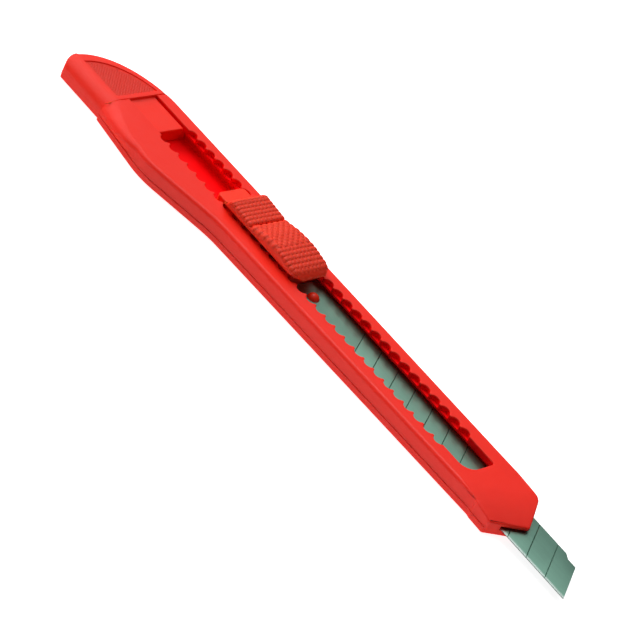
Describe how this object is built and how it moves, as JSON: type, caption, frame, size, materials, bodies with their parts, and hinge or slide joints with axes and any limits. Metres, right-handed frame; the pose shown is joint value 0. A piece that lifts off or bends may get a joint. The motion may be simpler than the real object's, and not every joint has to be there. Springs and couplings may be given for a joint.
{
  "type": "utility knife",
  "caption": "Slim snap-off cutter with a slotted two-shell plastic handle, a ratcheting thumb slider and a pull-off end cap.",
  "frame": {"origin": "middle of the part's box on its flat back, with the blade out in its resting place", "axes": "+X towards the tip of the blade, +Y towards the blade's spine, +Z out of the slotted face"},
  "size_m": [0.1462, 0.0194, 0.0072],
  "materials": {
    "handle_plastic": "smooth moulded, semi-gloss",
    "slider_plastic": "moulded, semi-gloss, knurled on top",
    "spring_steel": "bright rolled strip",
    "blade_steel": "ground, lightly oiled"
  },
  "bodies": {
    "handle": {"upper_shell": "handle_plastic", "lower_shell": "handle_plastic"},
    "cap": {"end_cap": "handle_plastic"},
    "slider": {"blade_carrier": "slider_plastic", "thumb_pad": "slider_plastic", "ratchet_spring": "spring_steel", "blade": "blade_steel"}
  },
  "joints": [
    {"name": "blade_slide", "type": "slide", "parent": "handle", "child": "slider", "axis": [1, 0, 0], "range_m": [-0.0172, 0.04587], "deforming": ["ratchet_spring"]},
    {"name": "cap_pull", "type": "slide", "parent": "handle", "child": "cap", "axis": [-1, 0, 0], "range_m": [0, 0.012]}
  ]
}
